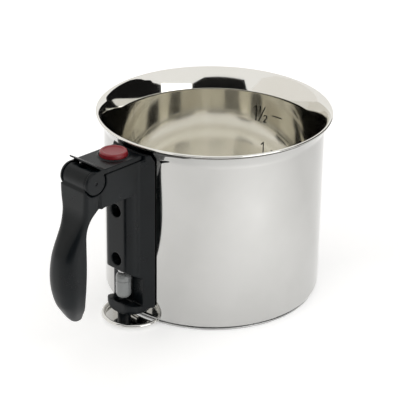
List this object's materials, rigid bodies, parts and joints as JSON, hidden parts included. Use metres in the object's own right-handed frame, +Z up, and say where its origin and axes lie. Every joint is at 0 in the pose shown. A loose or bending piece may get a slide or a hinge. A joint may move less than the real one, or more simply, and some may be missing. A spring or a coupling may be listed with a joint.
{
  "type": "candle melting pot",
  "caption": "Double-walled steel pot for melting wax over a water jacket, with a black column handle, hinged filling flap, push button vent and whistle.",
  "frame": {"origin": "centre of the flat underside of the base, on the pot's axis", "axes": "+Z up along the pot's axis, handle along -X, XZ plane is the plane of symmetry"},
  "size_m": [0.2497, 0.1788, 0.1464],
  "materials": {
    "polished_steel": "mirror-polished stainless steel",
    "base_steel": "satin stainless steel",
    "aluminium": "machined",
    "inner_steel": "plain steel",
    "spring_steel": "drawn wire",
    "black_rubber": "matt",
    "silicone": "matt",
    "black_plastic": "semi-gloss moulded",
    "red_plastic": "gloss moulded",
    "whistle_grey": "gloss",
    "brass": "stamped"
  },
  "bodies": {
    "pot": {"inner_bowl": "polished_steel", "outer_shell": "polished_steel", "base_core": "aluminium", "base_cap": "base_steel", "filler_neck": "inner_steel", "weld_bosses": "inner_steel", "wall_gasket": "black_rubber", "handle_body": "black_plastic", "grip": "black_plastic", "grip_screws": "inner_steel", "handle_screws": "inner_steel", "handle_washers": "inner_steel", "filler_cup": "inner_steel", "filler_elbow": "silicone", "steam_tube": "silicone", "whistle_socket": "inner_steel", "whistle_seal": "black_rubber", "whistle_body": "whistle_grey", "whistle_discs": "brass", "flame_guard": "polished_steel", "guard_spacer": "inner_steel", "guard_screw": "inner_steel", "hinge_pin": "inner_steel", "flap_spring": "spring_steel"},
    "flap": {"flap": "black_plastic", "flap_seal": "silicone", "button_spring": "spring_steel"},
    "button": {"red_button": "red_plastic", "vent_washer": "silicone", "button_clip": "spring_steel"}
  },
  "joints": [
    {"name": "flap_hinge", "type": "hinge", "parent": "pot", "child": "flap", "pos_m": [-0.1325, 0, 0.1311], "axis": [0, -1, 0], "range_deg": [0, 70], "stiffness_Nm_per_rad": 0.02, "springref_deg": -22.92, "deforming": ["flap_spring"]},
    {"name": "button_press", "type": "slide", "parent": "flap", "child": "button", "axis": [0, 0, -1], "range_m": [0, 0.002], "stiffness_N_per_m": 250, "springref_m": -0.002, "deforming": ["button_spring"]}
  ]
}
